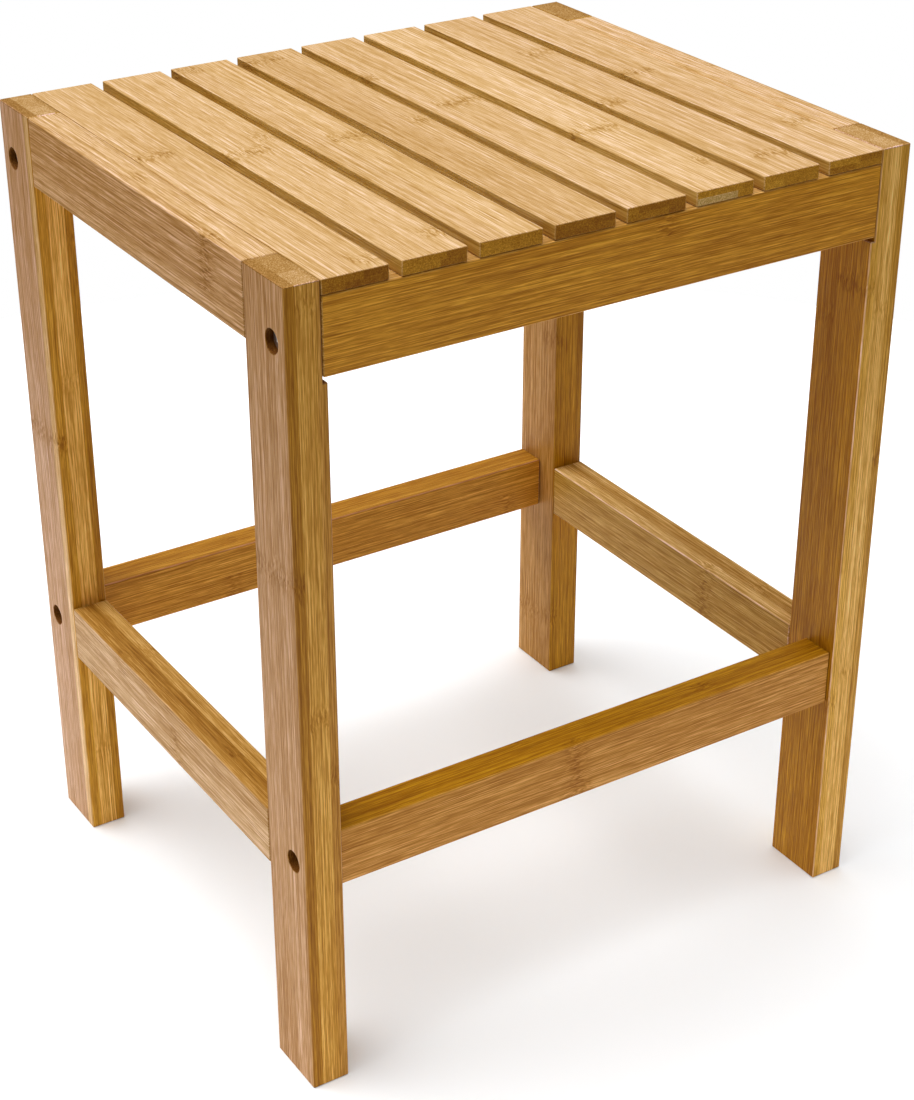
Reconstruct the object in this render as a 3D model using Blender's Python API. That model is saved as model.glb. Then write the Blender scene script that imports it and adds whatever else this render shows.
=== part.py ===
"""Slatted bamboo shower stool, modelled as it is put together.

Two glued side frames, each of two legs, a side rail and a side stretcher, are bolted to the
ends of two aprons and two stretchers. Slats pinned on top of the aprons make the seat.
Metres, +Z up, X across the stool and Y from front to back. The origin is on the floor under
the middle of the seat, and the front faces -Y.
"""

import math

import bmesh
import bpy
from mathutils import Matrix, Vector

# Overall size
STOOL_WIDTH = 0.360
STOOL_DEPTH = 0.314
STOOL_HEIGHT = 0.450

# Clearances and edges
GAP = 0.0003                    # between two pieces that touch
ARRIS = 0.0006                  # chamfer along the edges of every board
CUT_OVERRUN = 0.002             # how far a cutter starts outside the wood

# Legs
LEG_THICKNESS = 0.021           # across the stool
LEG_DEPTH = 0.038               # front to back
REBATE_DEPTH = 0.0025           # thins the top of a leg's inner face, where the apron sits
REBATE_BELOW_APRON = 0.0024     # open gap left under the apron

# Side rails at seat height, as thick as the thinned top of a leg
RAIL_HEIGHT = 0.0375

# Aprons under the slats, at the front and the back
APRON_HEIGHT = 0.039
APRON_THICKNESS = 0.020

# Slats
SLAT_COUNT = 8
SLAT_THICKNESS = 0.0075
DRAIN_GAP = 0.0065

# Stretchers between the legs
STRETCHER_BOTTOM = 0.1225       # above the floor
STRETCHER_HEIGHT = 0.033
STRETCHER_THICKNESS = 0.020     # front and back stretchers
STRETCHER_SETBACK = 0.0025      # behind the outer face of the legs

# Tenons on the ends of the side rails and side stretchers
TENON_TO_BOLT = 0.0045          # wood left between a mortise and the bolt's counterbore
TENON_THICKNESS = 0.008
TENON_SHOULDER = 0.006          # above and below the tenon

# Bolts with a hexagon socket, sunk in the outer faces of the legs
BOLT_INSET = 0.0125             # axis behind the outer face of the leg
BOLT_DROP = 0.002               # axis below the middle of the apron
BOLT_SEAT = 0.010               # wood left under the head
BOLT_HEAD_DIAMETER = 0.0105
BOLT_HEAD_HEIGHT = 0.0045
BOLT_DIAMETER = 0.006
BOLT_LENGTH = 0.050             # under the head
BOLT_CHAMFER = 0.0006
SOCKET_ACROSS_FLATS = 0.004
SOCKET_DEPTH = 0.0025
COUNTERBORE_DIAMETER = 0.012
BOLT_HOLE_DIAMETER = 0.007
BOLT_END_ROOM = 0.002           # hole left past the tip

# Barrel nuts, pushed in from below
NUT_DIAMETER = 0.010
NUT_LENGTH = 0.014
NUT_FROM_END = 0.030            # axis from the end of the apron or stretcher
NUT_SLOT_WIDTH = 0.0014
NUT_SLOT_DEPTH = 0.0015

# Dowels that pin the slats to the aprons
DOWEL_DIAMETER = 0.005
DOWEL_LENGTH = 0.016
DOWEL_IN_SLAT = 0.0045
DOWEL_CHAMFER = 0.0005

# Sides of the round pieces
HOLE_SIDES = 24
ROUND_SIDES = 20
DOWEL_SIDES = 12
MERGE_DISTANCE = 1e-6

# Places worked out from the sizes above
SIDES = {"left": -1, "right": 1}
ENDS = {"front": -1, "back": 1}
HALF_WIDTH = STOOL_WIDTH / 2
HALF_DEPTH = STOOL_DEPTH / 2
RAIL_THICKNESS = LEG_THICKNESS - REBATE_DEPTH
LEG_INNER = HALF_WIDTH - LEG_THICKNESS
REBATE_FACE = HALF_WIDTH - RAIL_THICKNESS
LEG_SHOULDER = HALF_DEPTH - LEG_DEPTH
RAIL_BOTTOM = STOOL_HEIGHT - RAIL_HEIGHT
SLAT_BOTTOM = STOOL_HEIGHT - SLAT_THICKNESS
APRON_TOP = SLAT_BOTTOM - GAP
APRON_BOTTOM = APRON_TOP - APRON_HEIGHT
REBATE_BOTTOM = APRON_BOTTOM - REBATE_BELOW_APRON
STRETCHER_TOP = STRETCHER_BOTTOM + STRETCHER_HEIGHT
SEAT_SPAN = 2 * (REBATE_FACE - GAP)
SLAT_WIDTH = (SEAT_SPAN - (SLAT_COUNT - 1) * DRAIN_GAP) / SLAT_COUNT
BOLT_Y = HALF_DEPTH - BOLT_INSET
TENON_LENGTH = LEG_DEPTH - BOLT_INSET - COUNTERBORE_DIAMETER / 2 - TENON_TO_BOLT
APRON_BOLT_HEIGHT = (APRON_TOP + APRON_BOTTOM) / 2 - BOLT_DROP
STRETCHER_BOLT_HEIGHT = (STRETCHER_TOP + STRETCHER_BOTTOM) / 2
DOWEL_Y = HALF_DEPTH - APRON_THICKNESS / 2
DOWEL_TOP = SLAT_BOTTOM + DOWEL_IN_SLAT
DOWEL_BOTTOM = DOWEL_TOP - DOWEL_LENGTH

# Linear colour, roughness and metallic value of each finish
FINISHES = {
    "leg": ((0.46, 0.25, 0.105), 0.45, 0.0),
    "side_rail": ((0.42, 0.22, 0.095), 0.45, 0.0),
    "side_stretcher": ((0.44, 0.24, 0.10), 0.45, 0.0),
    "apron": ((0.40, 0.22, 0.06), 0.45, 0.0),
    "stretcher": ((0.38, 0.20, 0.06), 0.45, 0.0),
    "slat": ((0.62, 0.38, 0.165), 0.42, 0.0),
    "bolt": ((0.62, 0.60, 0.56), 0.30, 1.0),
    "barrel_nut": ((0.58, 0.57, 0.55), 0.35, 1.0),
    "dowel": ((0.55, 0.40, 0.22), 0.60, 0.0),
}


def clear_scene():
    """Removes whatever the open file holds."""
    for item in list(bpy.data.objects):
        bpy.data.objects.remove(item, do_unlink=True)


def make_finishes():
    """One Principled material for each kind of piece."""
    made = {}
    for name, (colour, roughness, metallic) in FINISHES.items():
        material = bpy.data.materials.new(name)
        material.use_nodes = True
        shader = material.node_tree.nodes["Principled BSDF"]
        shader.inputs["Base Color"].default_value = (*colour, 1.0)
        shader.inputs["Roughness"].default_value = roughness
        shader.inputs["Metallic"].default_value = metallic
        made[name] = material
    return made


def make_group(name):
    """An empty that holds the pieces of one assembly together."""
    group = bpy.data.objects.new(name, None)
    bpy.context.scene.collection.objects.link(group)
    return group


def block(x, y, z):
    """A plain box between a pair of coordinates on each axis."""
    pairs = (x, y, z)
    shape = bmesh.new()
    bmesh.ops.create_cube(shape, size=1.0)
    bmesh.ops.scale(shape, vec=[abs(b - a) for a, b in pairs], verts=shape.verts)
    bmesh.ops.translate(shape, vec=[(a + b) / 2 for a, b in pairs], verts=shape.verts)
    return shape


def turned(profile, sides, placement=None):
    """Spins (radius, height) points about the Z axis and moves the result into place."""
    shape = bmesh.new()
    points = [shape.verts.new((radius, 0.0, height)) for radius, height in profile]
    edges = [shape.edges.new(pair) for pair in zip(points, points[1:])]
    bmesh.ops.spin(shape, geom=points + edges, cent=(0, 0, 0), axis=(0, 0, 1), angle=math.tau,
                   steps=sides, use_merge=True)
    bmesh.ops.remove_doubles(shape, verts=shape.verts, dist=MERGE_DISTANCE)
    bmesh.ops.recalc_face_normals(shape, faces=shape.faces)
    if placement:
        bmesh.ops.transform(shape, matrix=placement, verts=shape.verts)
    return shape


def rod(radius, start, stop):
    """The profile of a plain round rod from one height to another."""
    return [(0.0, start), (radius, start), (radius, stop), (0.0, stop)]


def pointing_inward(side, point):
    """Turns the Z axis from one side of the stool towards its middle, starting at a point."""
    return Matrix.Translation(point) @ Matrix.Rotation(-side * math.pi / 2, 4, "Y")


def ease_edges(shape):
    """Takes a small chamfer off every outward edge."""
    edges = [edge for edge in shape.edges if edge.is_convex]
    bmesh.ops.bevel(shape, geom=edges, offset=ARRIS, offset_type="OFFSET", segments=1,
                    profile=0.5, affect="EDGES")


def joined(shapes):
    """Puts several separate shapes into one."""
    whole = bmesh.new()
    for shape in shapes:
        mesh = bpy.data.meshes.new("part_of_whole")
        shape.to_mesh(mesh)
        shape.free()
        whole.from_mesh(mesh)
        bpy.data.meshes.remove(mesh)
    return whole


def add_object(name, shape, group=None):
    """Turns a shape into an object with flat faces and smooth round ones."""
    mesh = bpy.data.meshes.new(name)
    shape.to_mesh(mesh)
    shape.free()
    mesh.shade_smooth()
    mesh.set_sharp_from_angle(angle=math.radians(30))
    item = bpy.data.objects.new(name, mesh)
    bpy.context.scene.collection.objects.link(item)
    item.parent = group
    return item


def add_board(name, shape, material, group):
    """A board whose origin sits in its middle."""
    ease_edges(shape)
    corners = [vertex.co for vertex in shape.verts]
    low = Vector(min(corner[axis] for corner in corners) for axis in range(3))
    high = Vector(max(corner[axis] for corner in corners) for axis in range(3))
    middle = (low + high) / 2
    bmesh.ops.translate(shape, vec=-middle, verts=shape.verts)
    item = add_object(name, shape, group)
    item.location = middle
    item.data.materials.append(material)
    return item


def add_tool(name, shapes):
    """A hidden shape that a Boolean modifier joins to a piece or cuts out of it.

    Its bodies stay clear of each other, so holes that cross are cut by separate tools.
    """
    tool = add_object(name, joined(shapes))
    tool.hide_render = True
    tool.display_type = "WIRE"
    return tool


def combine(item, tool, operation):
    """Joins a hidden shape to a piece, or cuts it away."""
    modifier = item.modifiers.new(tool.name, "BOOLEAN")
    modifier.object = tool
    modifier.operation = operation
    modifier.solver = "EXACT"


def tenon_block(side, thickness, bottom, height, half_length, room=0.0):
    """The box that a through pair of tenons fills, or with room, the hole for it."""
    middle = side * (HALF_WIDTH - thickness / 2)
    half_thickness = TENON_THICKNESS / 2 + room
    low = bottom + TENON_SHOULDER - room
    high = bottom + height - TENON_SHOULDER + room
    return block((middle - half_thickness, middle + half_thickness),
                 (-half_length, half_length), (low, high))


def leg_bolt_cut(side, end, inner_face, height):
    """The stepped hole through a leg: a counterbore for the head, then the bolt hole."""
    seat = HALF_WIDTH - (inner_face + BOLT_SEAT)
    thickness = HALF_WIDTH - inner_face
    wide = COUNTERBORE_DIAMETER / 2
    narrow = BOLT_HOLE_DIAMETER / 2
    profile = [(0.0, -CUT_OVERRUN), (wide, -CUT_OVERRUN), (wide, seat), (narrow, seat),
               (narrow, thickness + CUT_OVERRUN), (0.0, thickness + CUT_OVERRUN)]
    start = (side * HALF_WIDTH, end * BOLT_Y, height)
    return turned(profile, HOLE_SIDES, pointing_inward(side, start))


def make_leg(side_name, end_name, material, group):
    """A leg: full thickness below, thinned on its inner face where the apron and slats sit."""
    side = SIDES[side_name]
    end = ENDS[end_name]
    outline = [(HALF_WIDTH, 0.0), (LEG_INNER, 0.0), (LEG_INNER, REBATE_BOTTOM),
               (REBATE_FACE, REBATE_BOTTOM), (REBATE_FACE, STOOL_HEIGHT),
               (HALF_WIDTH, STOOL_HEIGHT)]
    shape = bmesh.new()
    corners = [shape.verts.new((side * x, end * HALF_DEPTH, z)) for x, z in outline]
    face = shape.faces.new(corners)
    grown = bmesh.ops.extrude_face_region(shape, geom=[face])["geom"]
    moved = [part for part in grown if isinstance(part, bmesh.types.BMVert)]
    bmesh.ops.translate(shape, vec=(0.0, -end * LEG_DEPTH, 0.0), verts=moved)
    bmesh.ops.recalc_face_normals(shape, faces=shape.faces)
    leg = add_board(f"leg_{end_name}_{side_name}", shape, material, group)
    mortises = [
        tenon_block(side, RAIL_THICKNESS, RAIL_BOTTOM, RAIL_HEIGHT,
                    LEG_SHOULDER + TENON_LENGTH, GAP),
        tenon_block(side, LEG_THICKNESS, STRETCHER_BOTTOM, STRETCHER_HEIGHT,
                    LEG_SHOULDER + TENON_LENGTH, GAP),
    ]
    holes = [
        leg_bolt_cut(side, end, REBATE_FACE, APRON_BOLT_HEIGHT),
        leg_bolt_cut(side, end, LEG_INNER, STRETCHER_BOLT_HEIGHT),
    ]
    combine(leg, add_tool(f"{leg.name}_cuts", mortises + holes), "DIFFERENCE")


def make_side_board(name, side, thickness, bottom, height, material, group):
    """A rail or stretcher between two legs of one side, with a tenon on each end."""
    half_length = LEG_SHOULDER - GAP
    shape = block((side * HALF_WIDTH, side * (HALF_WIDTH - thickness)),
                  (-half_length, half_length), (bottom, bottom + height))
    board = add_board(name, shape, material, group)
    tenons = tenon_block(side, thickness, bottom, height, half_length + TENON_LENGTH)
    combine(board, add_tool(f"{name}_tenons", [tenons]), "UNION")


def bolt_holes(end, inner_face, height):
    """The holes for the bolts in both ends of an apron or stretcher."""
    reach = BOLT_LENGTH - BOLT_SEAT + BOLT_END_ROOM
    profile = rod(BOLT_HOLE_DIAMETER / 2, -CUT_OVERRUN, reach)
    starts = [(side, (side * (inner_face - GAP), end * BOLT_Y, height))
              for side in SIDES.values()]
    return [turned(profile, HOLE_SIDES, pointing_inward(side, start)) for side, start in starts]


def nut_holes(end, inner_face, height, bottom):
    """The holes for the barrel nuts in both ends of an apron or stretcher, from below."""
    profile = rod(NUT_DIAMETER / 2 + GAP, bottom - CUT_OVERRUN, height + NUT_LENGTH / 2 + GAP)
    places = [(side * (inner_face - GAP - NUT_FROM_END), end * BOLT_Y, 0.0)
              for side in SIDES.values()]
    return [turned(profile, HOLE_SIDES, Matrix.Translation(place)) for place in places]


def slat_middle(number):
    """The X of a slat's middle, counted from the left starting at 0."""
    return -SEAT_SPAN / 2 + SLAT_WIDTH / 2 + number * (SLAT_WIDTH + DRAIN_GAP)


def dowel_hole(number, end, bottom, top):
    """A round hole for the dowel of one slat at one end."""
    place = Matrix.Translation((slat_middle(number), end * DOWEL_Y, 0.0))
    return turned(rod(DOWEL_DIAMETER / 2 + GAP, bottom, top), DOWEL_SIDES, place)


def make_apron(end_name, material, group):
    """The board under the slat ends, flush with the legs and let into their rebates."""
    end = ENDS[end_name]
    half_length = REBATE_FACE - GAP
    shape = block((-half_length, half_length),
                  (end * HALF_DEPTH, end * (HALF_DEPTH - APRON_THICKNESS)),
                  (APRON_BOTTOM, APRON_TOP))
    apron = add_board(f"apron_{end_name}", shape, material, group)
    holes_above = bolt_holes(end, REBATE_FACE, APRON_BOLT_HEIGHT)
    for number in range(SLAT_COUNT):
        holes_above.append(dowel_hole(number, end, DOWEL_BOTTOM - GAP, APRON_TOP + CUT_OVERRUN))
    combine(apron, add_tool(f"{apron.name}_bolt_and_dowel_holes", holes_above), "DIFFERENCE")
    holes_below = nut_holes(end, REBATE_FACE, APRON_BOLT_HEIGHT, APRON_BOTTOM)
    combine(apron, add_tool(f"{apron.name}_nut_holes", holes_below), "DIFFERENCE")


def make_stretcher(end_name, material, group):
    """The board between the front or back legs, set back a little from their outer face."""
    end = ENDS[end_name]
    half_length = LEG_INNER - GAP
    outer = HALF_DEPTH - STRETCHER_SETBACK
    shape = block((-half_length, half_length),
                  (end * outer, end * (outer - STRETCHER_THICKNESS)),
                  (STRETCHER_BOTTOM, STRETCHER_TOP))
    stretcher = add_board(f"stretcher_{end_name}", shape, material, group)
    end_holes = bolt_holes(end, LEG_INNER, STRETCHER_BOLT_HEIGHT)
    combine(stretcher, add_tool(f"{stretcher.name}_bolt_holes", end_holes), "DIFFERENCE")
    holes_below = nut_holes(end, LEG_INNER, STRETCHER_BOLT_HEIGHT, STRETCHER_BOTTOM)
    combine(stretcher, add_tool(f"{stretcher.name}_nut_holes", holes_below), "DIFFERENCE")


def make_slat(number, material, group):
    """One seat slat, running from the front face to the back face of the stool."""
    middle = slat_middle(number)
    shape = block((middle - SLAT_WIDTH / 2, middle + SLAT_WIDTH / 2),
                  (-HALF_DEPTH, HALF_DEPTH), (SLAT_BOTTOM, STOOL_HEIGHT))
    slat = add_board(f"seat_slat_{number + 1}", shape, material, group)
    cuts = [dowel_hole(number, end, SLAT_BOTTOM - CUT_OVERRUN, DOWEL_TOP + GAP)
            for end in ENDS.values()]
    combine(slat, add_tool(f"{slat.name}_cuts", cuts), "DIFFERENCE")


def make_dowel(number, end_name, material, group):
    """The pin between one slat and one apron, with chamfered ends."""
    radius = DOWEL_DIAMETER / 2
    profile = [(0.0, 0.0), (radius - DOWEL_CHAMFER, 0.0), (radius, DOWEL_CHAMFER),
               (radius, DOWEL_LENGTH - DOWEL_CHAMFER), (radius - DOWEL_CHAMFER, DOWEL_LENGTH),
               (0.0, DOWEL_LENGTH)]
    dowel = add_object(f"slat_dowel_{end_name}_{number + 1}", turned(profile, DOWEL_SIDES), group)
    dowel.location = (slat_middle(number), ENDS[end_name] * DOWEL_Y, DOWEL_BOTTOM)
    dowel.data.materials.append(material)


def make_bolt(name, side, end, inner_face, height, material, group):
    """A socket-head bolt, its head on the seat of the counterbore and its axis along X."""
    head = BOLT_HEAD_DIAMETER / 2
    shank = BOLT_DIAMETER / 2
    tip = BOLT_HEAD_HEIGHT + BOLT_LENGTH
    profile = [(0.0, 0.0), (head - BOLT_CHAMFER, 0.0), (head, BOLT_CHAMFER),
               (head, BOLT_HEAD_HEIGHT), (shank, BOLT_HEAD_HEIGHT),
               (shank, tip - BOLT_CHAMFER), (shank - BOLT_CHAMFER, tip), (0.0, tip)]
    place = pointing_inward(side, (side * (inner_face + BOLT_SEAT + GAP + BOLT_HEAD_HEIGHT),
                                   end * BOLT_Y, height))
    bolt = add_object(name, turned(profile, ROUND_SIDES), group)
    bolt.matrix_world = place
    bolt.data.materials.append(material)
    socket = turned(rod(SOCKET_ACROSS_FLATS / 2 / math.cos(math.pi / 6), -CUT_OVERRUN,
                        SOCKET_DEPTH), 6, place)
    combine(bolt, add_tool(f"{name}_socket", [socket]), "DIFFERENCE")


def make_barrel_nut(name, side, end, inner_face, height, material, group):
    """A round nut lying across the bolt, with a screwdriver slot in its lower end."""
    middle = side * (inner_face - GAP - NUT_FROM_END)
    nut = add_object(name, turned(rod(NUT_DIAMETER / 2, -NUT_LENGTH / 2, NUT_LENGTH / 2),
                                  ROUND_SIDES), group)
    nut.location = (middle, end * BOLT_Y, height)
    nut.data.materials.append(material)
    start = (middle + side * NUT_DIAMETER, end * BOLT_Y, height)
    bore = turned(rod(BOLT_DIAMETER / 2 + GAP, 0.0, 2 * NUT_DIAMETER), ROUND_SIDES,
                  pointing_inward(side, start))
    bottom = height - NUT_LENGTH / 2
    half_slot = NUT_SLOT_WIDTH / 2
    slot = block((middle - NUT_DIAMETER, middle + NUT_DIAMETER),
                 (end * BOLT_Y - half_slot, end * BOLT_Y + half_slot),
                 (bottom - CUT_OVERRUN, bottom + NUT_SLOT_DEPTH))
    combine(nut, add_tool(f"{name}_cuts", [bore, slot]), "DIFFERENCE")


def make_side_frame(side_name, finishes):
    """The two legs of one side with their rail and stretcher."""
    side = SIDES[side_name]
    frame = make_group(f"side_frame_{side_name}")
    for end_name in ENDS:
        make_leg(side_name, end_name, finishes["leg"], frame)
    make_side_board(f"side_rail_{side_name}", side, RAIL_THICKNESS, RAIL_BOTTOM,
                    RAIL_HEIGHT, finishes["side_rail"], frame)
    make_side_board(f"side_stretcher_{side_name}", side, LEG_THICKNESS, STRETCHER_BOTTOM,
                    STRETCHER_HEIGHT, finishes["side_stretcher"], frame)


def make_seat(finishes):
    """The aprons, the slats across them and the dowels between."""
    seat = make_group("seat")
    for end_name in ENDS:
        make_apron(end_name, finishes["apron"], seat)
    for number in range(SLAT_COUNT):
        make_slat(number, finishes["slat"], seat)
        for end_name in ENDS:
            make_dowel(number, end_name, finishes["dowel"], seat)


def make_stretchers(finishes):
    """The stretchers between the two side frames."""
    lower_ties = make_group("lower_ties")
    for end_name in ENDS:
        make_stretcher(end_name, finishes["stretcher"], lower_ties)


def make_fixings(finishes):
    """The bolts through the legs and the barrel nuts that they screw into."""
    fixings = make_group("fixings")
    joints = {
        "apron": (REBATE_FACE, APRON_BOLT_HEIGHT),
        "stretcher": (LEG_INNER, STRETCHER_BOLT_HEIGHT),
    }
    for piece, (inner_face, height) in joints.items():
        for end_name, end in ENDS.items():
            for side_name, side in SIDES.items():
                place = f"{piece}_{end_name}_{side_name}"
                make_bolt(f"bolt_{place}", side, end, inner_face, height,
                          finishes["bolt"], fixings)
                make_barrel_nut(f"barrel_nut_{place}", side, end, inner_face, height,
                                finishes["barrel_nut"], fixings)


def main():
    """Builds the whole stool."""
    clear_scene()
    finishes = make_finishes()
    for side_name in SIDES:
        make_side_frame(side_name, finishes)
    make_seat(finishes)
    make_stretchers(finishes)
    make_fixings(finishes)


main()
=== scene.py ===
"""Slatted bamboo shower stool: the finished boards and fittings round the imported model.

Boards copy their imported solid, ease its arrises and carry the bamboo's own layout: plies glued
face to face, strips glued edge to edge, and the knuckles that cross each strip.
"""

import math
import random

import bmesh
import bpy
from bpy.props import FloatProperty, FloatVectorProperty, IntProperty, PointerProperty
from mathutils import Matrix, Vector


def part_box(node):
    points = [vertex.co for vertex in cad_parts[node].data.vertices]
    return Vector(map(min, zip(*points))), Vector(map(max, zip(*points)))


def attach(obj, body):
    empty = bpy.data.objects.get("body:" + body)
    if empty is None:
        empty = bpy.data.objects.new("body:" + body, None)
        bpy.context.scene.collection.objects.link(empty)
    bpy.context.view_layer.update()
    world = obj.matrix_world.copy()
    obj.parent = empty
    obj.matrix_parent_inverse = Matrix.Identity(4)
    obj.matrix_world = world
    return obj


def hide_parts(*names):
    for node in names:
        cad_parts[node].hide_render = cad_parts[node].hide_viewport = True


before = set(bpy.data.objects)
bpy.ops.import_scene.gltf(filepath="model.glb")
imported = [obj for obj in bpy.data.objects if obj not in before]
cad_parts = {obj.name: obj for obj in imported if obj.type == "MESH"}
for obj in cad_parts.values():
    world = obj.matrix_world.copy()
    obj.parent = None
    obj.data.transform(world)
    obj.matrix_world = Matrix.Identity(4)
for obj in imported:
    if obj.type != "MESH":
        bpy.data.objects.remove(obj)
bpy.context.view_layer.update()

bl_info = {
    "name": "Slatted Bamboo Stool",
    "version": (1, 0, 0),
    "blender": (4, 5, 0),
    "location": "3D View > Sidebar > Stool",
    "description": "Builds a slatted bamboo shower stool round its packed model",
    "category": "Object",
}

BODY = "root"
SIDES = ("left", "right")
ENDS = ("front", "back")
X, Y, Z = range(3)
FAR = 1.0                    # stands for no glue joint or knuckle near
FIT = 0.0003                 # room round a dowel in its hole
JOINT_GAP = 0.00028          # room between two boards, closed where a joint is tight
MERGE_DISTANCE = 1e-6
CUT_DISTANCE = 1e-7
SAME_PLACE = 1e-5            # corners nearer to a plane than this lie on it
FLAT_ANGLE = math.radians(0.5)
SHARP_ANGLE = math.radians(60)
EASED_ANGLE = math.radians(40)
RIM_ANGLE = math.radians(80)
SQUARE_ON = 0.95             # a face looks along an axis if its normal has this share of it
ARRIS_REACH = 0.0007         # an eased arris lies this near to two faces of its board
STRIP_REACH = 0.001          # how far past its box a slat's own faces are looked for
BORE_INSET = 0.004           # bolt holes lie further in than this from a leg's edges and ends
BORE_DEPTH = 0.0004          # and their walls start this far under its face
# Bolt-hole walls carry a strongly negative arris share: painted shade inside the holes.
BORE_SHADE_FACING = [0.5, 0.5, -4.5]    # drilled walls: half edge, half end grain, and darker
PALE_END_TONE = 0.8          # end grain over this tone is a paler, greyer strip
PALE_LOOK = (0.22, -6.0)     # tone and warmth of such a strip
PALE_FACING = (0.0, 0.35, 0.0)
END_CONTRAST = 0.12          # how far the end grain of a strip may differ in tone


def node_names(start):
    """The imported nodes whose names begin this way, in order."""
    return sorted(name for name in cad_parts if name.startswith(start))


def centre_of(name):
    """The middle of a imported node's box."""
    low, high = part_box(name)
    return (low + high) / 2


def size_of(name):
    """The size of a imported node's box."""
    low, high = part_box(name)
    return high - low


SLATS = node_names("seat_slat_")
DOWELS = node_names("slat_dowel_")
BOLTS = node_names("bolt_")
NUTS = node_names("barrel_nut_")
SLAT_SIZE = size_of(SLATS[0])
SLAT_PITCH = centre_of(SLATS[1]).x - centre_of(SLATS[0]).x
DOWEL_SIZE = size_of(DOWELS[0])
DOWEL_ROW = abs(centre_of(DOWELS[0]).y)
DOWEL_MIDDLE = centre_of(DOWELS[0]).z
BOLT_SIZE = size_of(BOLTS[0])
NUT_SIZE = size_of(NUTS[0])


# ---------------------------------------------------------------- settings

def length(name, text, default):
    """A length in metres."""
    return FloatProperty(name=name, description=text, default=default, min=0.0, unit="LENGTH",
                         precision=5)


def colour(name, text, default):
    """A linear colour."""
    return FloatVectorProperty(name=name, description=text, default=default, size=3, min=0.0,
                               max=1.0, subtype="COLOR")


class StoolSizes(bpy.types.PropertyGroup):
    """Sizes of the repeated pieces and of the easing on edges."""

    slat_count: IntProperty(name="Slats", description="How many slats the seat has",
                            default=len(SLATS), min=1)
    slat_width: length("Slat width", "Width of one slat", SLAT_SIZE.x)
    slat_length: length("Slat length", "Length of one slat, front to back", SLAT_SIZE.y)
    slat_thickness: length("Slat thickness", "Thickness of one slat", SLAT_SIZE.z)
    drain_gap: length("Drain gap", "Open gap between two slats", SLAT_PITCH - SLAT_SIZE.x)
    seat_height: length("Seat height", "Top of the slats above the floor",
                        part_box(SLATS[0])[1].z)
    slat_arris: length("Slat arris", "Width of the rounding on a slat's edges", 0.0005)
    dowel_diameter: length("Dowel diameter", "Diameter of a slat dowel", DOWEL_SIZE.x)
    dowel_length: length("Dowel length", "Length of a slat dowel", DOWEL_SIZE.z)
    head_height: length("Bolt head height", "Height of a bolt's head", 0.0045)
    shank_diameter: length("Bolt diameter", "Diameter of a bolt's shank", 0.006)
    socket_width: length("Socket width", "Hexagon socket across its flats", 0.004)
    socket_depth: length("Socket depth", "Depth of the hexagon socket", 0.0025)
    nut_bore: length("Nut bore", "Diameter of the bore through a barrel nut", 0.0066)
    nut_slot_width: length("Nut slot width", "Width of a nut's screwdriver slot", 0.0014)
    nut_slot_depth: length("Nut slot depth", "Depth of a nut's screwdriver slot", 0.0015)
    rim_easing: length("Rim easing", "Rounding on the rim of a bolt hole", 0.0003)


class StoolFinish(bpy.types.PropertyGroup):
    """Colours of the bamboo, the steel and the floor."""

    leg_face: colour("Leg face", "Outer faces of the legs", (0.446, 0.225, 0.077))
    # Deep golden colour of the faces turned front, back and in: the bamboo's edge colour with
    # painted shade.
    leg_edge: colour("Leg edge", "Front, back and inner faces of the legs",
                     (0.637, 0.304, 0.025))
    leg_end: colour("Leg end", "End grain on top of the legs", (0.36, 0.193, 0.052))
    rail_face: colour("Side rail face", "Wide faces of the side rails", (0.51, 0.264, 0.089))
    # Also laid on the rail's inner face, where it is painted shade.
    rail_edge: colour("Side rail edge", "Top and bottom of the side rails", (0.55, 0.335, 0.145))
    side_face: colour("Side stretcher face", "Wide faces of the side stretchers",
                      (0.512, 0.284, 0.100))
    # Also laid on the stretcher's inner face, where it is painted shade.
    side_edge_and_shade: colour("Side stretcher edge", "Top and bottom of the side stretchers",
                      (0.46, 0.24, 0.050))
    # Deep golden colour of the aprons' front and back: their own colour with painted shade.
    apron_face: colour("Apron face", "Front and back of the aprons", (0.63, 0.265, 0.015))
    apron_edge: colour("Apron edge", "Top and bottom of the aprons", (0.50, 0.26, 0.06))
    # Deep golden colour of the stretchers' front and back: their own colour with painted shade.
    stretcher_face: colour("Stretcher face", "Front and back of the stretchers",
                           (0.585, 0.256, 0.042))
    stretcher_edge: colour("Stretcher edge", "Top and bottom of the stretchers",
                           (0.430, 0.186, 0.004))
    slat_face: colour("Slat face", "Top of the slats", (0.570, 0.357, 0.161))
    slat_edge: colour("Slat edge", "Long edges of the slats", (0.43, 0.225, 0.040))
    slat_end: colour("Slat end", "End grain of the slats", (0.46, 0.193, 0.009))
    board_end: colour("Board end", "End grain of the other boards", (0.34, 0.18, 0.05))
    dowel: colour("Dowel", "Hardwood of the dowels", (0.55, 0.40, 0.22))
    steel: colour("Steel", "Zinc-plated bolts and barrel nuts", (0.84, 0.83, 0.81))
    floor: colour("Floor", "Pale studio floor", (0.935, 0.955, 0.975))


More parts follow.
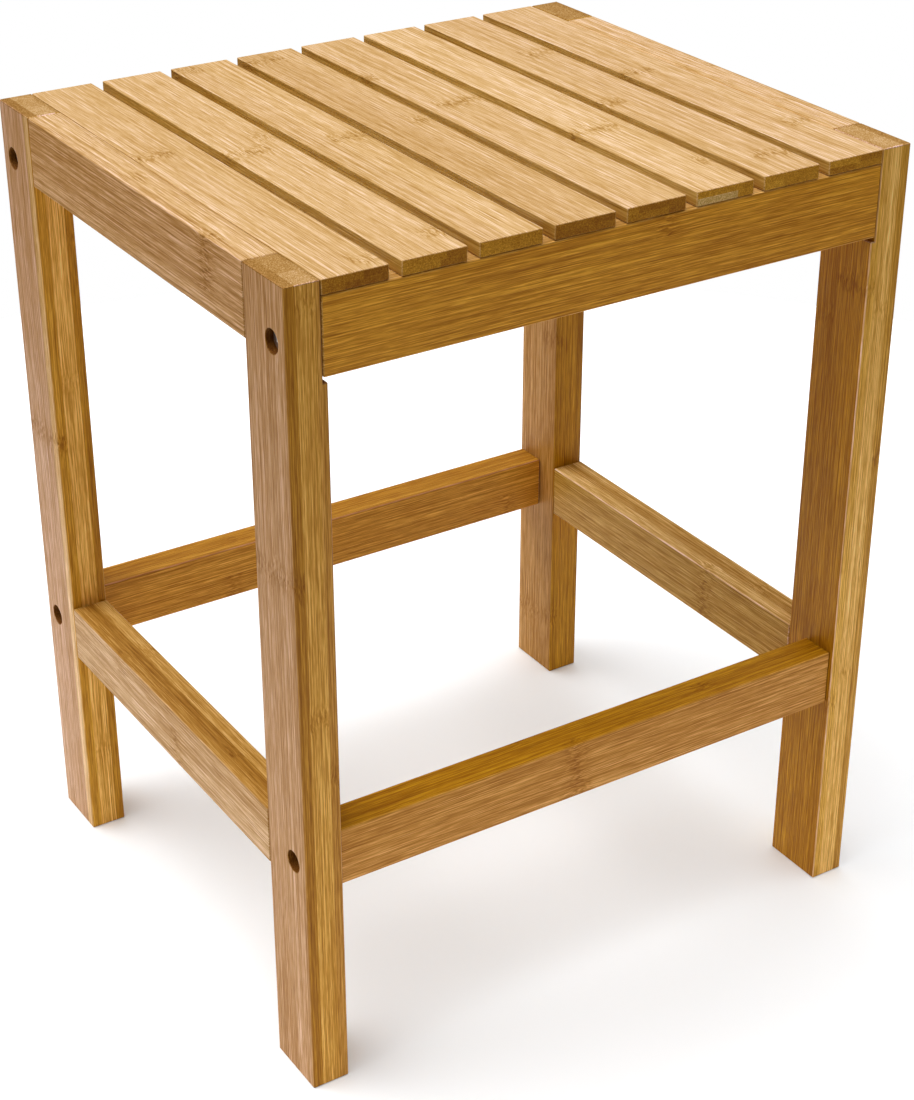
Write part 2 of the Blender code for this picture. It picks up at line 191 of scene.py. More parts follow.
class StoolStage(bpy.types.PropertyGroup):
    """Camera and light."""

    azimuth: FloatProperty(name="Camera azimuth", description="Camera's turn round the stool",
                           default=math.radians(-32.46), subtype="ANGLE")
    elevation: FloatProperty(name="Camera elevation", description="Camera's rise above level",
                             default=math.radians(28.70), subtype="ANGLE")
    distance: length("Camera distance", "From the camera to the point it aims at", 1.2876)
    aim: FloatVectorProperty(name="Camera aim", description="Point the camera aims at",
                             default=(-0.0003, -0.0140, 0.2031), size=3,
                             subtype="TRANSLATION", unit="LENGTH")
    lens: FloatProperty(name="Lens", description="Focal length in millimetres", default=74.6)
    overhead: FloatProperty(name="Overhead light", description="Strength of the wide softbox",
                            default=3.4)
    key: FloatProperty(name="Key light", description="Strength of the light from the left",
                       default=1.20)
    ambient: FloatProperty(name="Ambient light", description="Strength of the even fill",
                           default=0.10)
    floor_glow: FloatProperty(name="Floor glow", description="Light through the floor paper",
                              default=0.05)


# ---------------------------------------------------------------- node helpers

def add_node(tree, kind, feeds=(), **settings):
    """Adds a node, sets it up, and links or fills its inputs by name or place."""
    node = tree.nodes.new(kind)
    for key, value in settings.items():
        setattr(node, key, value)
    for place, value in dict(feeds).items():
        if isinstance(value, bpy.types.NodeSocket):
            tree.links.new(value, node.inputs[place])
        else:
            node.inputs[place].default_value = value
    return node


def sums(tree, operation, *values):
    """The result of a Math node."""
    return add_node(tree, "ShaderNodeMath", enumerate(values), operation=operation).outputs[0]


def times(tree, first, second):
    """Two numbers multiplied."""
    return sums(tree, "MULTIPLY", first, second)


def vectors(tree, operation, *values):
    """The result of a Vector Math node."""
    node = add_node(tree, "ShaderNodeVectorMath", enumerate(values), operation=operation)
    return node.outputs[0]


def scaled(tree, vector, factor):
    """A vector times a number."""
    node = add_node(tree, "ShaderNodeVectorMath", {0: vector, "Scale": factor},
                    operation="SCALE")
    return node.outputs[0]


def split(tree, vector):
    """The three numbers of a vector."""
    return add_node(tree, "ShaderNodeSeparateXYZ", {0: vector}).outputs


def joined(tree, x, y, z):
    """A vector from three numbers."""
    return add_node(tree, "ShaderNodeCombineXYZ", {0: x, 1: y, 2: z}).outputs[0]


def ranged(tree, value, low, high, to_low=0.0, to_high=1.0):
    """A number moved from one range to another, held inside it."""
    node = add_node(tree, "ShaderNodeMapRange",
                    {"Value": value, "From Min": low, "From Max": high, "To Min": to_low,
                     "To Max": to_high}, clamp=True)
    return node.outputs["Result"]


def mixed(tree, share, first, second):
    """Two colours mixed."""
    node = add_node(tree, "ShaderNodeMix", {0: share, 6: first, 7: second}, data_type="RGBA")
    return node.outputs[2]


def mottled(tree, share, tint, darkest):
    """A colour that goes down to a share of itself."""
    dark = tuple(darkest * part for part in tint)
    return mixed(tree, share, (*dark, 1.0), (*tint, 1.0))


def noise(tree, vector, per_metre, detail=2.0, roughness=0.5):
    """Smooth noise with its own fineness across, through and along the board."""
    spread = vectors(tree, "MULTIPLY", vector, per_metre)
    node = add_node(tree, "ShaderNodeTexNoise",
                    {"Vector": spread, "Scale": 1.0, "Detail": detail, "Roughness": roughness},
                    noise_dimensions="3D")
    return node.outputs[0]


def carried(tree, name):
    """A vector that the mesh carries."""
    return add_node(tree, "ShaderNodeAttribute", attribute_name=name,
                    attribute_type="GEOMETRY").outputs["Vector"]


def bell(tree, value, width):
    """1 where the value is 0, falling away smoothly over a width."""
    share = sums(tree, "DIVIDE", value, width)
    square = times(tree, share, share)
    return sums(tree, "EXPONENT", times(tree, square, -1.0))


def total(tree, *terms):
    """The sum of (number, weight) pairs."""
    whole = 0.0
    for value, weight in terms:
        whole = sums(tree, "MULTIPLY_ADD", value, weight, whole)
    return whole


def new_tree(name, kind, inputs, outputs):
    """An empty node tree with its sockets."""
    tree = bpy.data.node_groups.new(name, kind)
    for in_out, sockets in (("INPUT", inputs), ("OUTPUT", outputs)):
        for socket, socket_kind in sockets:
            tree.interface.new_socket(name=socket, in_out=in_out, socket_type=socket_kind)
    entry = tree.nodes.new("NodeGroupInput")
    end = tree.nodes.new("NodeGroupOutput")
    return tree, entry.outputs, end.inputs


# ---------------------------------------------------------------- finishes

# The layers of the bamboo's figure: how fine each is across, through and along the board per
# metre, its detail and roughness, the noise values its range is cut to, and its lowest value
FIGURE = {
    "fibre": ((1250.0, 1250.0, 6.0), 2.0, 0.60, 0.38, 0.62, -1.0),
    "fine": ((1700.0, 1700.0, 60.0), 2.0, 0.70, 0.40, 0.60, -1.0),
    "broad": ((230.0, 230.0, 2.2), 3.0, 0.55, 0.34, 0.66, -1.0),
    "cloud": ((42.0, 42.0, 9.0), 2.0, 0.50, 0.30, 0.70, -1.0),
    "pores": ((1300.0, 1300.0, 32.0), 1.0, 0.50, 0.60, 0.72, 0.0),
    "dashes": ((1050.0, 1050.0, 230.0), 2.0, 0.50, 0.46, 0.60, 0.0),
}
VESSELS = (1150.0, 1150.0, 2.0)      # dots in the end grain, per metre
SEED_STEP = (3.1, 1.7, 4.3)          # how far a strip's seed moves its figure
KNUCKLE_LINE = 0.0013                # widths of a knuckle's line and of the band round it
KNUCKLE_BAND = 0.0068
KNUCKLE_WANDER = 0.010
KNUCKLE_SWIRL = 0.005                # how far fibres swirl at a knuckle and sway elsewhere
FIBRE_SWAY = 0.00012
STRIP_LINE = 0.00022                 # widths of the glue lines of a strip and of a ply
PLY_LINE = 0.00035
FIBRE_LOSS = (0.70, 1.0, 2.00)       # darker fibres are browner: they lose more blue than red
WARM_TINT = (0.0, 0.0, 0.06)         # what one step of warmth adds
DARKEST = (0.004, 0.002, 0.001)
BAMBOO_GLOSS = 0.15


def bamboo_group():
    """Laminated bamboo: fibres, glue lines, strip tones, knuckles and end grain.

    The mesh carries grain (metres across, through and along the board), strip (tone, warmth,
    seed), knuckles (two places along, strength), joints (distance to the glue line of a strip
    and of a ply) and facing (edge, end, arris). The arris share lightens eased arrises with a
    painted highlight; on bolt-hole walls it is negative and paints shade.
    """
    name = "Laminated bamboo"
    if name in bpy.data.node_groups:
        return bpy.data.node_groups[name]
    tree, inputs, outputs = new_tree(
        name, "ShaderNodeTree",
        [("Face", "NodeSocketColor"), ("Edge", "NodeSocketColor"), ("End", "NodeSocketColor"),
         ("Contrast", "NodeSocketFloat")],
        [("Colour", "NodeSocketColor"), ("Roughness", "NodeSocketFloat"),
         ("Height", "NodeSocketFloat")])
    grain = carried(tree, "grain")
    tone, warmth, seed = split(tree, carried(tree, "strip"))
    first, second, strength = split(tree, carried(tree, "knuckles"))
    strip_joint, ply_joint, _ = split(tree, carried(tree, "joints"))
    edge, end, arris = split(tree, carried(tree, "facing"))
    along = split(tree, grain)[2]
    place = vectors(tree, "ADD", grain, scaled(tree, SEED_STEP, seed))

    # Each knuckle is a wavy band across the strip, made of short broken fibres.
    wander = noise(tree, place, (130.0, 130.0, 8.0), 3.0)
    wander = sums(tree, "MULTIPLY_ADD", wander, KNUCKLE_WANDER, -KNUCKLE_WANDER / 2)
    lines = bands = 0.0
    for knuckle in (first, second):
        away = sums(tree, "SUBTRACT", along, knuckle)
        bent = sums(tree, "ADD", away, wander)
        lines = sums(tree, "ADD", lines, bell(tree, bent, KNUCKLE_LINE))
        bands = sums(tree, "ADD", bands, bell(tree, bent, KNUCKLE_BAND))
    lines = times(tree, lines, strength)
    bands = times(tree, bands, strength)

    # Fibres run along the board, sway a little, and swirl at the knuckles.
    sway = sums(tree, "SUBTRACT", noise(tree, place, (90.0, 90.0, 45.0), 2.0), 0.5)
    sway = times(tree, sway, sums(tree, "MULTIPLY_ADD", bands, KNUCKLE_SWIRL, FIBRE_SWAY))
    place = vectors(tree, "ADD", place, joined(tree, sway, sway, 0.0))
    fibre, fine, broad, cloud, pores, dashes = [
        ranged(tree, noise(tree, place, per_metre, detail, roughness), low, high, lowest, 1.0)
        for per_metre, detail, roughness, low, high, lowest in FIGURE.values()]
    dots = add_node(tree, "ShaderNodeTexVoronoi",
                    {"Vector": vectors(tree, "MULTIPLY", place, VESSELS), "Scale": 1.0},
                    voronoi_dimensions="3D").outputs["Distance"]
    dots = ranged(tree, dots, 0.25, 0.65, 1.0, -1.0)

    strip_line = ranged(tree, strip_joint, 0.0, STRIP_LINE, 1.0, 0.0)
    ply_line = ranged(tree, ply_joint, 0.0, PLY_LINE, 1.0, 0.0)
    side = sums(tree, "SUBTRACT", 1.0, end)
    broken = times(tree, bands, dashes)
    streaks = total(tree, (fibre, 0.21), (fine, 0.20), (broad, 0.075), (pores, 0.28))
    darker = total(
        tree, (tone, -1.0), (times(tree, streaks, inputs["Contrast"]), 1.0), (cloud, 0.04),
        (broken, 0.52), (bands, 0.04), (times(tree, lines, dashes), 0.18),
        (times(tree, dots, end), 0.08), (times(tree, strip_line, side), 0.10),
        # arris: a painted highlight on eased arrises, and painted shade on bolt-hole walls
        (ply_line, -0.18), (arris, -0.22))
    base = mixed(tree, edge, inputs["Face"], inputs["Edge"])
    base = mixed(tree, end, base, inputs["End"])
    kept = [sums(tree, "EXPONENT", times(tree, darker, -loss)) for loss in FIBRE_LOSS]
    shade = vectors(tree, "MULTIPLY", base, joined(tree, *kept))
    hue = sums(tree, "MULTIPLY_ADD", cloud, 0.35, warmth)
    tint = vectors(tree, "ADD", (1.0, 1.0, 1.0), scaled(tree, WARM_TINT, hue))
    shade = vectors(tree, "MULTIPLY", shade, tint)
    shade = vectors(tree, "MAXIMUM", shade, DARKEST)
    tree.links.new(shade, outputs["Colour"])
    rough = total(tree, (fibre, 0.05), (cloud, 0.05), (end, 0.22), (bands, 0.06), (fine, 0.03))
    tree.links.new(sums(tree, "ADD", rough, 0.47), outputs["Roughness"])
    height = total(tree, (fibre, -0.30), (fine, -0.20), (pores, -0.5), (lines, -0.5),
                   (broken, -0.6), (strip_line, -0.6))
    tree.links.new(height, outputs["Height"])
    return tree


def new_material(name):
    """A material with a bare shader, and the two nodes."""
    material = bpy.data.materials.new(name)
    material.use_nodes = True
    tree = material.node_tree
    return material, tree, tree.nodes["Principled BSDF"]


def shown_shader(tree, shader):
    """Puts a shader's result on the surface."""
    tree.links.new(shader.outputs[0], tree.nodes["Material Output"].inputs["Surface"])


def bamboo(name, face, edge, end, contrast=1.35):
    """Oiled laminated bamboo with its own face, edge and end-grain colours."""
    material, tree, shader = new_material(name)
    group = tree.nodes.new("ShaderNodeGroup")
    group.node_tree = bamboo_group()
    for socket, value in (("Face", face), ("Edge", edge), ("End", end)):
        group.inputs[socket].default_value = (*value, 1.0)
    group.inputs["Contrast"].default_value = contrast
    bump = add_node(tree, "ShaderNodeBump",
                    {"Height": group.outputs["Height"], "Strength": 0.35, "Distance": 0.0002})
    tree.links.new(group.outputs["Colour"], shader.inputs["Base Color"])
    tree.links.new(group.outputs["Roughness"], shader.inputs["Roughness"])
    tree.links.new(bump.outputs[0], shader.inputs["Normal"])
    shader.inputs["Specular IOR Level"].default_value = BAMBOO_GLOSS
    return material


def hardwood(name, tint):
    """Plain turned hardwood with a faint grain up the dowel."""
    material, tree, shader = new_material(name)
    place = add_node(tree, "ShaderNodeTexCoord").outputs["Object"]
    grain = noise(tree, place, (1400.0, 1400.0, 90.0), 3.0, 0.6)
    shade = mottled(tree, ranged(tree, grain, 0.35, 0.65), tint, 0.72)
    tree.links.new(shade, shader.inputs["Base Color"])
    tree.links.new(ranged(tree, grain, 0.3, 0.7, 0.52, 0.68), shader.inputs["Roughness"])
    return material


def plated_steel(name, tint):
    """Zinc-plated steel with fine turning marks and slight clouding."""
    material, tree, shader = new_material(name)
    place = add_node(tree, "ShaderNodeTexCoord").outputs["Object"]
    cloud = noise(tree, place, (260.0, 260.0, 260.0), 3.0, 0.6)
    marks = noise(tree, place, (5200.0, 900.0, 900.0), 2.0)
    shade = mottled(tree, ranged(tree, cloud, 0.35, 0.65), tint, 0.80)
    tree.links.new(shade, shader.inputs["Base Color"])
    tree.links.new(ranged(tree, cloud, 0.3, 0.7, 0.34, 0.48), shader.inputs["Roughness"])
    bump = add_node(tree, "ShaderNodeBump",
                    {"Height": marks, "Strength": 0.2, "Distance": 0.00005})
    tree.links.new(bump.outputs[0], shader.inputs["Normal"])
    shader.inputs["Metallic"].default_value = 1.0
    return material


# ---------------------------------------------------------------- boards

class Board:
    """Where one board lies and how its bamboo is glued up.

    Its own axes run across its wide face, through its thickness and along its fibres. Plies are
    counted from low to high through the thickness, and strips from low to high across it.
    """

    def __init__(self, name, across, through, along, plies, tones, seams=None, knuckles=None,
                 tone=0.0, warmth=0.0, looks=None, inward=0, inner_shade_share=1.0,
                 end_tones=None, face_looks=None, warmths=None):
        self.name = name
        self.axes = (across, through, along)
        low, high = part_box(name)
        self.low = [low[axis] for axis in self.axes]
        self.high = [high[axis] for axis in self.axes]
        self.middle = [(a + b) / 2 for a, b in zip(self.low, self.high)]
        self.tones = tones
        self.tone = tone
        self.warmth = warmth
        self.knuckles = knuckles or {}
        self.looks = looks or {}
        self.inward = inward
        self.inner_shade_share = inner_shade_share
        self.end_tones = end_tones or {}
        self.face_looks = face_looks
        self.warmths = warmths or (0.0,) * len(plies)
        chance = random.Random(name)
        self.ply_ends = []
        reached = 0.0
        for share in plies[:-1]:
            reached += share
            self.ply_ends.append(self.part_way(1, reached))
        self.seams = []
        for ply in range(len(plies)):
            share = (seams or {}).get(ply, chance.uniform(0.35, 0.65))
            self.seams.append(self.part_way(0, share))

    def part_way(self, axis, share):
        """A place part of the way across the board on one of its own axes."""
        return self.low[axis] + share * (self.high[axis] - self.low[axis])

    def local(self, point):
        """A point in the board's own axes."""
        return [point[axis] for axis in self.axes]

    def cell(self, point):
        """The ply and strip that hold a point given in the board's own axes."""
        ply = sum(point[1] > limit for limit in self.ply_ends)
        return ply, int(point[0] > self.seams[ply])

    def strip_look(self, ply, strip):
        """Tone, warmth and seed of a strip, and its two knuckles with their strength."""
        chance = random.Random(f"{self.name} {ply} {strip}")
        tone = self.tone + self.tones[ply] + chance.uniform(-0.05, 0.05)
        warmth = self.warmth + self.warmths[ply] + chance.uniform(-0.6, 0.6)
        if (ply, strip) in self.looks:
            lighter, warmer = self.looks[ply, strip]
            tone += lighter
            warmth += warmer
        seed = chance.random()
        start = self.low[2] + chance.uniform(0.03, 0.24)
        places = [start, start + chance.uniform(0.20, 0.28)]
        strength = chance.uniform(0.45, 0.85)
        if (ply, strip) in self.knuckles:
            places = [self.middle[2] + place for place in self.knuckles[ply, strip]]
            strength = 1.0
        end_tone = chance.uniform(-END_CONTRAST, END_CONTRAST)
        if (ply, strip) in self.end_tones:
            end_tone = self.end_tones[ply, strip] - tone
        places = [place - self.middle[2] for place in places] + [FAR, FAR]
        return (tone, warmth, seed), (places[0], places[1], strength), end_tone

    def gaps(self, point):
        """How far inside the board's box a point lies, on each of the board's own axes."""
        return [min(here - low, high - here)
                for here, low, high in zip(self.local(point), self.low, self.high)]

    def in_bore(self, centre):
        """True inside a bolt hole: away from all six faces of a leg's box."""
        across, through, along = self.gaps(centre)
        return (self.end_tones and self.face_looks and across > BORE_INSET
                and along > BORE_INSET and through > BORE_DEPTH)

    def facing(self, normal, centre):
        """How far a face is edge, end grain or eased arris, which gets a painted highlight."""
        turned = [abs(normal[axis]) for axis in self.axes]
        # Faces turned inward, under the seat, take the golden edge colour as painted shade.
        if self.inward * normal[self.axes[1]] > SQUARE_ON:
            return [self.inner_shade_share, 0.0, 0.0]
        # Walls of a bolt hole are darkened with painted shade.
        if self.in_bore(centre):
            return BORE_SHADE_FACING
        if max(turned) > SQUARE_ON:
            return [float(part > SQUARE_ON) for part in (turned[0], turned[2])] + [0.0]
        whole = sum(turned)
        near = [gap < ARRIS_REACH for gap in self.gaps(centre)]
        # The last share marks an eased arris, which gets a painted highlight.
        return [turned[0] / whole, turned[2] / whole, float(sum(near) >= 2)]

    def face_layout(self, normal, centre):
        """Ply, tone with warmth and seed, knuckles and facing of one of the board's faces."""
        ply, strip = self.cell(self.local(centre))
        (tone, warmth, seed), knuckles, end_tone = self.strip_look(ply, strip)
        facing = self.facing(normal, centre)
        through = normal[self.axes[1]]
        if facing[1] == 1.0:
            tone += end_tone
            warmth = self.warmth
            if tone > PALE_END_TONE:
                tone, warmth = PALE_LOOK
                facing = PALE_FACING
        # Outer and inner faces get their own tone and warmth; the inner face's darker tone is
        # painted shade.
        elif self.face_looks and abs(through) > SQUARE_ON:
            face_tone, face_warmth = self.face_looks[self.inward * through > 0.0]
            tone += face_tone - self.tones[ply]
            warmth += face_warmth - self.warmths[ply]
        return ply, (tone, warmth, seed), knuckles, facing

    def joint_distances(self, ply, here):
        """Distances to a strip's glue line and to the one that bounds an outer ply."""
        ends = self.ply_ends
        outer = ends and ply in (0, len(ends))
        line = FAR if not outer else abs(here[1] - (ends[0] if ply == 0 else ends[-1]))
        return abs(here[0] - self.seams[ply]), line, 0.0


def cut_along_joints(shape, board):
    """Cuts the faces of a board's shape along its glue lines, so that each lies in one strip."""
    places = [(1, place) for place in board.ply_ends] + [(0, place) for place in board.seams]
    for axis, place in places:
        faces = [face for face in shape.faces if face.tag]
        # Keys of a dict keep their order, so every run cuts in the same order.
        edges = dict.fromkeys(edge for face in faces for edge in face.edges)
        corners = dict.fromkeys(corner for face in faces for corner in face.verts)
        normal = Vector((0.0, 0.0, 0.0))
        normal[board.axes[axis]] = 1.0
        made = bmesh.ops.bisect_plane(shape, geom=[*corners, *edges, *faces], dist=CUT_DISTANCE,
                                      plane_co=normal * place, plane_no=normal)
        for part in made["geom"]:
            if isinstance(part, bmesh.types.BMFace):
                part.tag = True


def lay_out_bamboo(shape, boards):
    """Writes each board's layout on the faces of its shape."""
    layers = shape.loops.layers.float_vector
    kinds = [layers.new(name) for name in ("grain", "strip", "knuckles", "joints", "facing")]
    for board in boards:
        axis = board.axes[0]
        for face in shape.faces:
            middle = face.calc_center_median()[axis]
            face.tag = (len(boards) == 1
                        or board.low[0] - STRIP_REACH < middle < board.high[0] + STRIP_REACH)
        cut_along_joints(shape, board)
        for face in shape.faces:
            if not face.tag:
                continue
            ply, look, knuckles, facing = board.face_layout(face.normal,
                                                            face.calc_center_median())
            for loop in face.loops:
                here = board.local(loop.vert.co)
                grain = [a - b for a, b in zip(here, board.middle)]
                joints = board.joint_distances(ply, here)
                for layer, value in zip(kinds, (grain, look, knuckles, joints, facing)):
                    loop[layer] = value


def plain_mesh(item):
    """Turns an object with modifiers into one with a plain mesh, and drops the modifiers."""
    graph = bpy.context.evaluated_depsgraph_get()
    graph.update()
    mesh = bpy.data.meshes.new_from_object(item.evaluated_get(graph), depsgraph=graph)
    item.modifiers.clear()
    item.data = mesh
    mesh.name = item.name
    return mesh


def new_object(name, data):
    """A new object in the scene, at the origin."""
    item = bpy.data.objects.new(name, data)
    bpy.context.scene.collection.objects.link(item)
    return item


def object_from(name, shape):
    """A new object from a finished bmesh shape."""
    mesh = bpy.data.meshes.new(name)
    shape.to_mesh(mesh)
    shape.free()
    return new_object(name, mesh)


def finish_piece(item, nodes):
    """Shades a piece, flat faces flat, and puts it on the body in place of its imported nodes."""
    item.data.shade_smooth()
    item.data.set_sharp_from_angle(angle=SHARP_ANGLE)
    modifier = item.modifiers.new("Even shading", "WEIGHTED_NORMAL")
    modifier.keep_sharp = True
    modifier.weight = 100
    plain_mesh(item)
    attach(item, BODY)
    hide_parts(*nodes)


def ease_rims(shape, easing):
    """Rounds the rims of the bolt holes on a leg's outer face."""
    outer = max(abs(corner.co.x) for corner in shape.verts)
    rims = [edge for edge in shape.edges
            if all(abs(abs(corner.co.x) - outer) < SAME_PLACE for corner in edge.verts)
            and edge.is_convex and edge.calc_face_angle(0.0) > RIM_ANGLE]
    bmesh.ops.bevel(shape, geom=rims, offset=easing, offset_type="OFFSET", segments=2,
                    profile=0.5, affect="EDGES")


def close_gap(shape, board):
    """Moves a side rail's inner face against the outermost slat, where the joint is tight."""
    axis = board.axes[1]
    inner = board.high[1] if board.inward > 0 else board.low[1]
    for corner in shape.verts:
        if abs(corner.co[axis] - inner) < SAME_PLACE:
            corner.co[axis] += board.inward * JOINT_GAP


def make_board(board, material, rim_easing=0.0, tight=False):
    """One board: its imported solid, merged, eased, laid out in strips and finished."""
    shape = bmesh.new()
    shape.from_mesh(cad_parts[board.name].data)
    bmesh.ops.remove_doubles(shape, verts=shape.verts, dist=MERGE_DISTANCE)
    bmesh.ops.dissolve_limit(shape, angle_limit=FLAT_ANGLE, verts=shape.verts,
                             edges=shape.edges)
    if rim_easing:
        ease_rims(shape, rim_easing)
    if tight:
        close_gap(shape, board)
    lay_out_bamboo(shape, [board])
    item = object_from(f"{board.name}_board", shape)
    for name in list(item.data.uv_layers.keys()):
        item.data.uv_layers.remove(item.data.uv_layers[name])
    item.data.materials.append(material)
    finish_piece(item, [board.name])


# How the plies of each kind of board share its thickness, from outside in
LEG_PLIES = (0.27, 0.48, 0.25)
SIDE_RAIL_PLIES = (0.30, 0.44, 0.26)
SIDE_STRETCHER_PLIES = (0.3, 0.3, 0.4)
CROSS_PLIES = (0.3, 0.4, 0.3)
SLAT_PLIES = (0.5, 0.5)
LEG_CORE_SEAM = 0.42
INWARD = {"left": 1, "right": -1}

# How each leg is glued up: tones and warmths of its plies from outside in, tone and warmth of its
# outer and inner face (the inner face's darker tone is painted shade), the knuckles on the front
# and back strip of its outer ply in metres above the floor, that ply's seam as a share from the
# front, and the end grain's tones on top, by ply from outside in and by strip from the front
LEGS = {
    ("front", "left"): {
        "tones": (-0.60, 0.14, -0.26),
        "warmths": (0.0, 10.5, 15.0),
        "faces": ((0.0, 0.0), (-0.52, -4.0)),
        "knuckles": ((0.302,), (0.298,)),
        "seam": 0.55,
        "ends": ((-0.34, -0.30), (0.22, -0.10), (0.04, -0.16)),
    },
    ("front", "right"): {
        "tones": (-0.02, 0.46, 0.24),
        "warmths": (5.0, 11.0, 5.0),
        "faces": ((0.0, 0.0), (-0.52, -7.5)),
        "knuckles": ((0.275,), (0.120, 0.395)),
        "seam": 0.42,
        "ends": ((-0.12, -0.15), (0.22, 0.16), (0.05, 0.02)),
    },
    ("back", "left"): {
        "tones": (-0.43, 0.33, -0.20),
        "warmths": (7.0, 10.0, -4.0),
        "faces": ((0.17, 2.0), (-0.35, -4.0)),
        "knuckles": ((0.262,), (0.262,)),
        "seam": 0.17,
        "ends": ((-0.38, -0.42), (0.25, 0.16), (0.05, -0.02)),
        "looks": {(0, 0): (0.35, -7.2)},     # extra tone and warmth of single strips
    },
    ("back", "right"): {
        "tones": (-0.42, -0.30, -0.38),
        "warmths": (-10.0, -9.0, -10.0),
        "faces": ((0.0, 0.0), (-0.15, 0.0)),
        "knuckles": ((0.330,), (0.340,)),
        "seam": 0.60,
        "ends": ((-0.20, -0.20), (-0.10, 0.00), (-0.15, -0.05)),
        # Share of the golden edge colour, which paints shade, on this leg's inner face:
        "inner_shade_share": 0.35,                  # share of the edge colour on its inner face
    },
}
SIDE_STRETCHER_TONES = {"left": (-0.13, -0.52, 0.05), "right": (0.26, -0.08, 0.42)}


def from_side(side, values):
    """Puts values given from the outside in into low-to-high order on that side."""
    return tuple(values) if side == "left" else tuple(reversed(values))


def leg_end_tones(side, tones):
    """End-grain tones by ply and strip, with the plies in low-to-high order."""
    return {(ply, strip): tone for ply, pair in enumerate(from_side(side, tones))
            for strip, tone in enumerate(pair)}


# For each slat from the left: the seam of its top strips as a share of its width, the knuckles
# on the left and right strip, in metres behind the middle of the seat, its tone and warmth
SLAT_LOOKS = (
    (0.62, (0.030,), (-0.146,), -0.01, 0.0),
    (0.68, (0.009,), (-0.133, 0.028), 0.02, -0.2),
    (0.42, (0.150,), (0.003,), -0.05, -0.5),
    (0.63, (0.143,), (0.009,), -0.09, 0.4),
    (0.20, (0.083,), (0.022,), -0.04, 0.0),
    (0.80, (-0.054,), (-0.122,), 0.05, -0.9),
    (0.40, (-0.022,), (-0.131, 0.074), 0.01, 0.4),
    (0.58, (0.014,), (-0.100,), 0.04, 0.4),
)
# The seam of each slat's lower strips as a share of its width, and the tones of the end grain:
# lower left, lower right, upper left, upper right
SLAT_END_LOOKS = (
    (0.35, -0.28, -0.55, -0.20, -0.62),
    (0.58, 0.14, -0.32, 0.08, -0.36),
    (0.48, 0.20, 0.02, 0.12, 0.05),
    (0.55, -0.48, -0.32, -0.36, -0.55),
    (0.70, -0.10, -0.45, -0.05, -0.40),
    (0.72, 1.05, 0.15, 0.22, 0.0),
    (0.36, 0.32, 0.10, 0.22, 0.12),
    (0.50, -0.20, 0.10, 0.25, -0.25),
)


# ---------------------------------------------------------------- operators

def settings():
    """The three groups of settings."""
    scene = bpy.context.scene
    return scene.stool_sizes, scene.stool_finish, scene.stool_stage


class STOOL_OT_legs(bpy.types.Operator):
    """Make the four legs"""

    bl_idname = "stool.legs"
    bl_label = "Legs"

    def execute(self, context):
        sizes, finish, _ = settings()
        material = bamboo("Bamboo leg", finish.leg_face, finish.leg_edge, finish.leg_end)
        for (end, side), leg in LEGS.items():
            name = f"leg_{end}_{side}"
            outer = 0 if side == "left" else len(LEG_PLIES) - 1
            knuckles = {(outer, strip): [height - centre_of(name).z for height in heights]
                        for strip, heights in enumerate(leg["knuckles"])}
            board = Board(name, Y, X, Z, from_side(side, LEG_PLIES),
                          from_side(side, leg["tones"]), {outer: leg["seam"], 1: LEG_CORE_SEAM},
                          knuckles, looks=leg.get("looks"), inward=INWARD[side],
                          inner_shade_share=leg.get("inner_shade_share", 1.0),
                          end_tones=leg_end_tones(side, leg["ends"]), face_looks=leg["faces"],
                          warmths=from_side(side, leg["warmths"]))
            make_board(board, material, sizes.rim_easing)
        return {"FINISHED"}


class STOOL_OT_side_rails(bpy.types.Operator):
    """Make the two side rails at seat height"""

    bl_idname = "stool.side_rails"
    bl_label = "Side rails"

    def execute(self, context):
        _, finish, _ = settings()
        material = bamboo("Bamboo side rail", finish.rail_face, finish.rail_edge,
                          finish.board_end)
        for side in SIDES:
            # The left rail's outer ply: its seam, and one knuckle on its upper strip
            seams = {0: 0.28} if side == "left" else None
            knuckles = {(0, 0): (FAR,), (0, 1): (-0.083,)} if side == "left" else None
            # The inner face is darker and more golden: painted shade.
            board = Board(f"side_rail_{side}", Z, X, Y, from_side(side, SIDE_RAIL_PLIES),
                          from_side(side, (0.0, 0.12, -0.08)), seams, knuckles,
                          inward=INWARD[side], face_looks=((0.0, 0.0), (-0.3, -4.0)))
            make_board(board, material, tight=True)
        return {"FINISHED"}


class STOOL_OT_side_stretchers(bpy.types.Operator):
    """Make the two side stretchers"""

    bl_idname = "stool.side_stretchers"
    bl_label = "Side stretchers"

    def execute(self, context):
        _, finish, _ = settings()
        material = bamboo("Bamboo side stretcher", finish.side_face, finish.side_edge_and_shade,
                          finish.board_end)
        for side in SIDES:
            knuckles = {(0, 0): (-0.04,), (0, 1): (-0.04,)} if side == "right" else None
            # The inner face is more golden: painted shade.
            board = Board(f"side_stretcher_{side}", Z, X, Y,
                          from_side(side, SIDE_STRETCHER_PLIES),
                          from_side(side, SIDE_STRETCHER_TONES[side]), knuckles=knuckles,
                          inward=INWARD[side], face_looks=((0.0, 0.0), (-0.04, -4.0)))
            make_board(board, material)
        return {"FINISHED"}


class STOOL_OT_aprons(bpy.types.Operator):
    """Make the front and back aprons"""

    bl_idname = "stool.aprons"
    bl_label = "Aprons"

    def execute(self, context):
        _, finish, _ = settings()
        material = bamboo("Bamboo apron", finish.apron_face, finish.apron_edge,
                          finish.board_end)
        for end in ENDS:
            board = Board(f"apron_{end}", Z, Y, X, CROSS_PLIES, (0.0, 0.05, 0.0),
                          seams={0: 0.72, 2: 0.62},
                          knuckles={(0, 0): (FAR,), (0, 1): (0.027,)})
            make_board(board, material)
        return {"FINISHED"}


